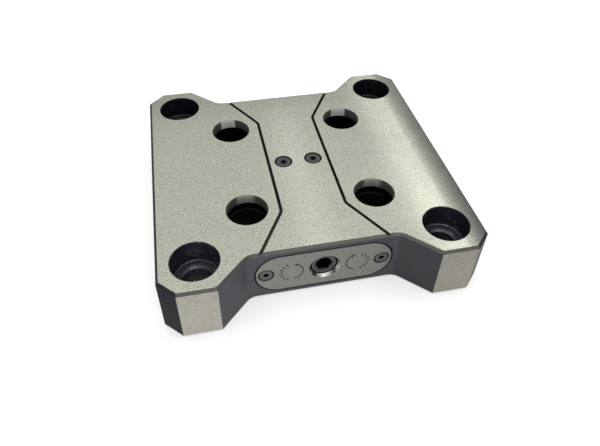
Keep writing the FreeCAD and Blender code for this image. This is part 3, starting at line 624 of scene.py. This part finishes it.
def oval_steel(look):
    """Matt, fine blasted oval cover with a bare turned countersink; its screw holes, bore and seam are
    painted dark as shade.
    """
    steel = new_material("oval_steel")
    point = steel.point()
    x, z = steel.parts(point)[::2]
    ny, nz = steel.facing()[1:]
    ahead = 0 - ny
    axis_radius = steel.radius(x, z - DRIVE_LEVEL)
    screw_radius = steel.radius(abs(x) - COVER_SCREW_PLACE, z - DRIVE_LEVEL)
    mottle = steel.noise(point, (0.45, 0.45, 0.45), FINE_DETAIL)
    clouds = steel.noise(point, (9.0, 9.0, 9.0))

    # The front face, and what isn't part of it
    front = ahead.past(SQUARE)
    mouth = axis_radius.up_to(DRIVE_MOUTH)
    countersink = mouth * ahead.within(*SLANTED)
    bore = mouth * ahead.up_to(SLANTED[0])
    sink = screw_radius.up_to(COVER_HEAD + SINK_GAP) * (1 - front)
    rim = steel.off_oval(x, z).past(-COVER_SEAM) * (1 - front) * seam_shade(z, 0.1, 0.85)

    # The countersink carries a painted highlight at its lowest point and is dim elsewhere, a little less at
    # its two sides
    gleam = x.within(-3.4, 1.2, 3.0) * nz.past(0.0, 0.50)
    sides = abs(x).past(4.2, 0.8)
    sink_highlight = 0.13 + 0.40 * sides + 1.15 * gleam

    edge_share, sink_share, blast_height = 0.15, 0.75, 0.012
    normal, edge = steel.rounded(FINE_EDGE)
    base = steel.shade(look.cover, 1 + mottle.swing(0.80) + clouds.swing(0.16))
    base = steel.mix(edge * edge_share, base, look.bare)
    # Painted shade: the gaps round the screw heads, the spindle's bore and the seam at the cover's edge go
    # dark
    base = steel.mix((sink * sink_share).either(bore).either(rim), base, look.paint)
    base = steel.mix(countersink, base, steel.shade(look.bare, sink_highlight))
    height = mottle * (1 - countersink) * blast_height
    return steel.surface(Base_Color=base, Roughness=0.50 - 0.26 * countersink + clouds.swing(0.12),
                         Metallic=METALLIC, Normal=steel.bump(height, normal))


def worked_steel(name, tone, roughness, grain, wear, bare):
    """Steel, bronze or the like with machining marks: grain is three lengths of the marks in millimetres."""
    steel = new_material(name)
    point = steel.point()
    marks = steel.noise(point, grain)
    clouds = steel.noise(point, (4.0, 4.0, 4.0), FINE_DETAIL)
    mark_height = 0.010
    normal, edge = steel.rounded(WORKED_EDGE)
    base = steel.shade(tone, 1 + marks.swing(0.60) + clouds.swing(0.30))
    base = steel.mix(edge * wear, base, bare)
    return steel.surface(Base_Color=base, Roughness=roughness + marks.swing(0.16), Metallic=METALLIC,
                         Normal=steel.bump(marks * mark_height, normal))


def screw_steel(look, name, across, head, upright):
    """Blackened screws whose heads face +Z if upright and -Y if not, with two light rings painted on them as
    highlights.
    """
    steel = new_material(name)
    point = steel.point()
    x, y, z = steel.parts(point)

    # The socket and two light rings painted as highlights, by the distance from the screw's axis in radii of
    # the head. The socket, the gap between the rings and the rim are painted dark as shade.
    place = steel.radius(abs(x) - across, y if upright else z - DRIVE_LEVEL) / head
    socket_end = 0.36
    socket = place.up_to(socket_end)
    rings = place.within(socket_end, 0.50, 0.10).either(place.within(0.60, 0.84, 0.08))

    clouds = steel.noise(point, (0.6, 0.6, 0.6), FINE_DETAIL)
    edge_share, socket_share, spot_height = 0.35, 0.6, 0.010
    normal, edge = steel.rounded(SCREW_EDGE)
    base = steel.shade(look.screw, 0.35 + 1.10 * rings + clouds.swing(1.10))
    base = steel.mix(edge * edge_share, base, look.bare)
    base = steel.mix(socket * socket_share, base, look.paint)
    return steel.surface(Base_Color=base, Roughness=0.36 + clouds.swing(0.16), Metallic=METALLIC,
                         Normal=steel.bump(clouds * spot_height, normal))


def turned_steel(look):
    """The drive spindle: rings of the lathe round its axis, and a rim at the front and the hexagon painted
    dark as shade.
    """
    steel = new_material("turned_steel")
    point = steel.point()
    x, y, z = steel.parts(point)
    ahead = 0 - steel.facing()[1]
    axis_radius = steel.radius(x, z - DRIVE_LEVEL)
    lathe = (axis_radius + y).ripple(LATHE_PITCH)
    clouds = steel.noise(point, (1.2, 1.2, 1.2), FINE_DETAIL)
    rim = y.up_to(SPINDLE_LOW.y + SPINDLE_BREAK) * axis_radius.past(SPINDLE_RIM, 0.25)
    mouth = ahead.within(*SLANTED) * axis_radius.up_to(KEY_MOUTH)
    socket = y.within(SPINDLE_LOW.y + FINE_MARGIN, SPINDLE_LOW.y + KEY_DEPTH) * axis_radius.up_to(KEY_RADIUS)
    edge_share, rim_share, socket_share, lathe_height = 0.25, 0.85, 0.35, 0.005
    normal, edge = steel.rounded(FINE_EDGE)
    base = steel.shade(look.spindle, 1 + lathe.swing(0.20) + clouds.swing(0.60))
    base = steel.mix(edge * edge_share, base, look.bare)
    # Painted shade: the rim stands for the dark gap round the spindle, and the hexagon's mouth and inside go
    # darker
    base = steel.mix(rim * rim_share, base, look.paint)
    base = steel.mix(mouth.either(socket) * socket_share, base, look.paint)
    return steel.surface(Base_Color=base, Roughness=0.34 + clouds.swing(0.15), Metallic=METALLIC,
                         Normal=steel.bump(lathe * lathe_height, normal))


def matt_rubber(look):
    """Seal and gasket."""
    rubber = new_material("matt_rubber")
    grain = rubber.noise(rubber.point(), (0.3, 0.3, 0.3), FINE_DETAIL)
    return rubber.surface(Base_Color=rubber.shade(look.rubber, 1 + grain.swing(0.4)),
                          Roughness=0.75 + grain.swing(0.2))


def paint(look):
    """Black filling of the engraved marks."""
    filling = new_material("mark_paint")
    grain = filling.noise(filling.point(), (0.15, 0.15, 0.15))
    return filling.surface(Base_Color=filling.shade(look.paint, 1 + grain.swing(0.6)),
                           Roughness=0.6 + grain.swing(0.2))


# Shapes: rings of points carried along a path
def ribbon(middle, side, half_width, low, high):
    """A flat bar carried along a path on the oval cover, as vertices and faces.

    At each point of the path the bar's section is a rectangle: half_width to both sides of the middle along
    side, and from low to high along Y. The first and last sections are closed by a face each.
    """
    count = len(middle)
    across = side * half_width[:, None]
    corners = np.stack([middle - across, middle + across, middle + across, middle - across], axis=1)
    corners[:, :2, 1] = low
    corners[:, 2:, 1] = high
    row = np.arange(count - 1)[:, None] * 4
    turn = np.arange(4)[None, :]
    after = (turn + 1) % 4
    walls = np.stack([row + turn, row + after, row + 4 + after, row + 4 + turn], axis=-1).reshape(-1, 4)
    ends = np.array([[3, 2, 1, 0], [0, 1, 2, 3]]) + np.array([[0], [4 * (count - 1)]])
    return corners.reshape(-1, 3), np.concatenate([walls, ends])


def joined(pieces):
    """Several sets of vertices and faces as one."""
    starts = np.cumsum([0] + [len(vertices) for vertices, faces in pieces[:-1]])
    vertices = np.concatenate([vertices for vertices, faces in pieces])
    faces = np.concatenate([faces + start for (vertices, faces), start in zip(pieces, starts)])
    return vertices, faces


def new_piece(name, vertices, faces, material, body):
    """A mesh object at the origin that rides on a body."""
    mesh = bpy.data.meshes.new(name)
    mesh.from_pydata(vertices.tolist(), [], faces.tolist())
    mesh.materials.append(material)
    mesh.update()
    piece = bpy.data.objects.new(name, mesh)
    bpy.context.scene.collection.objects.link(piece)
    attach(piece, body)
    return piece


def arrow(sizes, side):
    """A half-ring arrow on the side of its centre that faces the spindle.

    The middle line is a circle's arc; the half width is constant, widens at the head and falls to a point.
    side is -1 for the left ring and +1 for the right one.
    """
    sweep = math.radians(ARROW_SWEEP)
    angle = np.linspace(-sweep, sweep, ARROW_POINTS)
    outward = np.stack([-side * np.cos(angle), np.zeros_like(angle), np.sin(angle)], axis=1)
    centre = np.array([side * sizes.place, 0.0, DRIVE_LEVEL / TO_MM])
    left = (angle[-1] - angle) * sizes.radius
    head = np.where(left < sizes.head, left / sizes.head * sizes.stroke * ARROW_FLARE, sizes.stroke / 2)
    return centre + outward * sizes.radius, outward, np.maximum(head, ARROW_TIP)


def ticks(sizes, side):
    """Short radial bars on the outer half of a ring, as a list of paths.

    The bars stand at equal angles. Each one's middle line runs outwards along a radius, half of it to each
    side of the ring's own line.
    """
    bars = []
    for angle in np.radians(np.linspace(-TICK_SWEEP, TICK_SWEEP, sizes.ticks)):
        outward = np.array([side * math.cos(angle), 0.0, math.sin(angle)])
        sideways = np.array([-side * math.sin(angle), 0.0, math.cos(angle)])
        centre = np.array([side * sizes.place, 0.0, DRIVE_LEVEL / TO_MM])
        run = sizes.radius + np.array([-0.5, 0.5]) * sizes.tick
        middle = centre + outward * run[:, None]
        bars.append((middle, np.tile(sideways, (2, 1)), np.full(2, sizes.stroke / 2)))
    return bars


# Operators: one for each piece or group of like pieces, and one for the stage
class PLATE_OT_body(bpy.types.Operator):
    """Dress the plate itself in ground and blackened steel"""

    bl_idname = "plate.body"
    bl_label = "Plate"

    def execute(self, context):
        dress(plate_steel(context.scene.plate_look), "plate_body")
        return {"FINISHED"}


class PLATE_OT_covers(bpy.types.Operator):
    """Dress the oval cover and the bottom cover"""

    bl_idname = "plate.covers"
    bl_label = "Covers"

    def execute(self, context):
        plate, parts = context.scene.plate_look, context.scene.parts_look
        dress(oval_steel(parts), "front_cover")
        sheet = worked_steel("sheet_steel", plate.blackened, roughness=0.45, grain=(0.4, 6.0, 0.4), wear=0.3,
                             bare=plate.ground)
        dress(sheet, "bottom_cover")
        return {"FINISHED"}


class PLATE_OT_screws(bpy.types.Operator):
    """Dress all countersunk screws in blackened steel"""

    bl_idname = "plate.screws"
    bl_label = "Screws"

    def execute(self, context):
        look = context.scene.parts_look
        black = worked_steel("screw_black", look.screw, roughness=0.38, grain=(0.25, 0.25, 0.25), wear=0.35,
                             bare=look.bare)
        dress(black, "bottom_cover_screws", "guide_pad_screws")
        cover_black = screw_steel(look, "cover_screw_black", COVER_SCREW_PLACE, COVER_HEAD, upright=False)
        dress(cover_black, "front_cover_screws")
        fork_black = screw_steel(look, "fork_screw_black", FORK_SCREW_PLACE, FORK_HEAD, upright=True)
        dress(fork_black, "centre_fork_screws")
        return {"FINISHED"}


class PLATE_OT_drive(bpy.types.Operator):
    """Dress the drive spindle in turned steel"""

    bl_idname = "plate.drive"
    bl_label = "Drive spindle"

    def execute(self, context):
        dress(turned_steel(context.scene.parts_look), "drive_spindle")
        return {"FINISHED"}


class PLATE_OT_lock(bpy.types.Operator):
    """Dress the locking slides, the fork and its dowels in hardened steel"""

    bl_idname = "plate.lock"
    bl_label = "Slides and fork"

    def execute(self, context):
        look = context.scene.parts_look
        hard = worked_steel("hardened_grey", look.hardened, roughness=0.34, grain=(0.2, 5.0, 0.2), wear=0.03,
                            bare=look.bare)
        dress(hard, "front_slide", "rear_slide", "centre_fork", "centre_fork_dowels")
        return {"FINISHED"}


class PLATE_OT_bearings(bpy.types.Operator):
    """Dress the nuts, bushes and guide pads in bronze"""

    bl_idname = "plate.bearings"
    bl_label = "Bronze parts"

    def execute(self, context):
        look = context.scene.parts_look
        bronze = worked_steel("worked_bronze", look.bronze, roughness=0.36, grain=(0.2, 4.0, 0.2), wear=0.3,
                              bare=look.bronze)
        dress(bronze, "front_nut", "rear_nut", "front_bush", "rear_bush", "left_guide_pad", "right_guide_pad")
        return {"FINISHED"}


class PLATE_OT_seals(bpy.types.Operator):
    """Dress the seal ring and the gasket in rubber"""

    bl_idname = "plate.seals"
    bl_label = "Seals"

    def execute(self, context):
        dress(matt_rubber(context.scene.parts_look), "spindle_seal", "cover_gasket")
        return {"FINISHED"}


class PLATE_OT_marks(bpy.types.Operator):
    """Engrave the rotation arrows and plain ticks on the oval cover"""

    bl_idname = "plate.marks"
    bl_label = "Engraved marks"

    def execute(self, context):
        sizes = context.scene.mark_sizes
        face = COVER_LOW.y / TO_MM
        low, high = face - MARK_PROUD, face + sizes.depth
        material = paint(context.scene.parts_look)
        for name, side in (("left_marks", -1), ("right_marks", 1)):
            paths = [arrow(sizes, side), *ticks(sizes, side)]
            vertices, faces = joined([ribbon(*path, low, high) for path in paths])
            new_piece(name, vertices, faces, material, "base")
        return {"FINISHED"}


class PLATE_OT_stage(bpy.types.Operator):
    """Set up the floor, the lamps, the room and the camera"""

    bl_idname = "plate.stage"
    bl_label = "Stage"

    def execute(self, context):
        setup = context.scene.studio_setup
        floor_piece(setup)
        room(setup)
        for name, setting, part, size, place, aim in LAMPS:
            lamp(name, getattr(setup, setting) * part, size, place, aim)
        scene_camera(setup)
        context.scene.view_settings.view_transform = "Standard"
        return {"FINISHED"}


def floor_piece(setup):
    """A pale square floor under the plate.

    It shows a light of its own to the camera and in what the steel mirrors, and sheds none on the plate. The
    camera sees it alike everywhere. The steel mirrors it brightest close to the plate and dimmest on the
    right.
    """
    corners = [(-FLOOR_HALF, -FLOOR_HALF, 0.0), (FLOOR_HALF, -FLOOR_HALF, 0.0),
               (FLOOR_HALF, FLOOR_HALF, 0.0), (-FLOOR_HALF, FLOOR_HALF, 0.0)]
    mesh = bpy.data.meshes.new("floor")
    mesh.from_pydata(corners, [], [(0, 1, 2, 3)])
    paper = new_material("floor_paper")
    x, y = paper.parts(paper.point())[:2]
    right = x.past(-PLATE_HIGH.x, PLATE_HIGH.x * 2)
    close = 1 - abs(x).either(abs(y)).past(PLATE_HIGH.x, PLATE_HIGH.z)
    for_camera = 1.55
    for_steel = 1.6 - 1.2 * right + 0.9 * close
    path = paper.add("ShaderNodeLightPath", {}, {})
    seen = path.pick("Is Camera Ray") * for_camera + path.pick("Is Glossy Ray") * for_steel
    seen = seen + path.pick("Is Transmission Ray")
    paper.surface(Base_Color=setup.floor, Roughness=0.9, Specular_IOR_Level=0.0,
                  Emission_Color=paper.shade(WHITE, seen * setup.lift), Emission_Strength=1.0)
    mesh.materials.append(paper.owner)
    floor = bpy.data.objects.new("floor", mesh)
    bpy.context.scene.collection.objects.link(floor)


def room(setup):
    """A room that is white at the horizon and greyer above it."""
    world = bpy.data.worlds.new("room")
    bpy.context.scene.world = world
    shader = Shader(world)
    direction = shader.add("ShaderNodeTexCoord", {}, {}).pick("Generated")
    height = shader.parts(direction)[2]
    horizon_end, fade = 0.10, 0.20
    above = height.past(horizon_end, fade)
    brightness = setup.horizon + above * (setup.walls - setup.horizon)
    background = shader.tree.nodes["Background"]
    shader.tree.links.new(brightness.output, background.inputs["Strength"])
    background.inputs["Color"].default_value = flat(WHITE)


def lamp(name, power, size, place, aim):
    """A soft rectangular lamp at place that faces aim, or straight down where that is None."""
    data = bpy.data.lights.new(name, "AREA")
    data.shape = "RECTANGLE"
    data.energy = power
    data.size, data.size_y = size
    body = bpy.data.objects.new(name, data)
    body.location = place
    below = (*place[:2], 0.0)
    body.rotation_euler = (Vector(aim or below) - Vector(place)).to_track_quat("-Z", "Y").to_euler()
    body.visible_camera = False
    bpy.context.scene.collection.objects.link(body)


def scene_camera(setup):
    """The camera at the photograph's viewing angle."""
    data = bpy.data.cameras.new("camera")
    data.lens = setup.lens
    data.sensor_width = SENSOR_WIDTH
    data.shift_y = setup.shift
    camera = bpy.data.objects.new("camera", data)
    view = (Vector(setup.aim) - Vector(setup.camera)).to_track_quat("-Z", "Y").to_matrix()
    turned = view @ Matrix.Rotation(setup.roll, 3, "Z")
    camera.matrix_world = Matrix.Translation(setup.camera) @ turned.to_4x4()
    bpy.context.scene.collection.objects.link(camera)
    bpy.context.scene.camera = camera


class PLATE_PT_sidebar(bpy.types.Panel):
    """The buttons in working order, then the sizes and colours"""

    bl_idname = "PLATE_PT_sidebar"
    bl_label = "Zero point adapter plate"
    bl_space_type = "VIEW_3D"
    bl_region_type = "UI"
    bl_category = "Plate"

    def draw(self, context):
        for operator in OPERATORS:
            self.layout.operator(operator.bl_idname)
        for name in GROUPS:
            group = getattr(context.scene, name)
            box = self.layout.box()
            box.label(text=group.__doc__)
            for setting in group.__annotations__:
                box.prop(group, setting)


GROUPS = {"plate_look": PlateLook, "parts_look": PartsLook, "mark_sizes": MarkSizes,
          "studio_setup": StudioSetup}
OPERATORS = (PLATE_OT_body, PLATE_OT_covers, PLATE_OT_screws, PLATE_OT_drive, PLATE_OT_lock,
             PLATE_OT_bearings, PLATE_OT_seals, PLATE_OT_marks, PLATE_OT_stage)


def register():
    """Registers the classes and gives the scene its property groups."""
    for kind in (*GROUPS.values(), *OPERATORS, PLATE_PT_sidebar):
        bpy.utils.register_class(kind)
    for name, kind in GROUPS.items():
        setattr(bpy.types.Scene, name, PointerProperty(type=kind))


def unregister():
    """Takes the property groups and the classes away again."""
    for name in GROUPS:
        delattr(bpy.types.Scene, name)
    for kind in reversed((*GROUPS.values(), *OPERATORS, PLATE_PT_sidebar)):
        bpy.utils.unregister_class(kind)


def main():
    register()
    for operator in OPERATORS:
        family, action = operator.bl_idname.split(".")
        getattr(getattr(bpy.ops, family), action)()


if __name__ == "__main__":
    main()
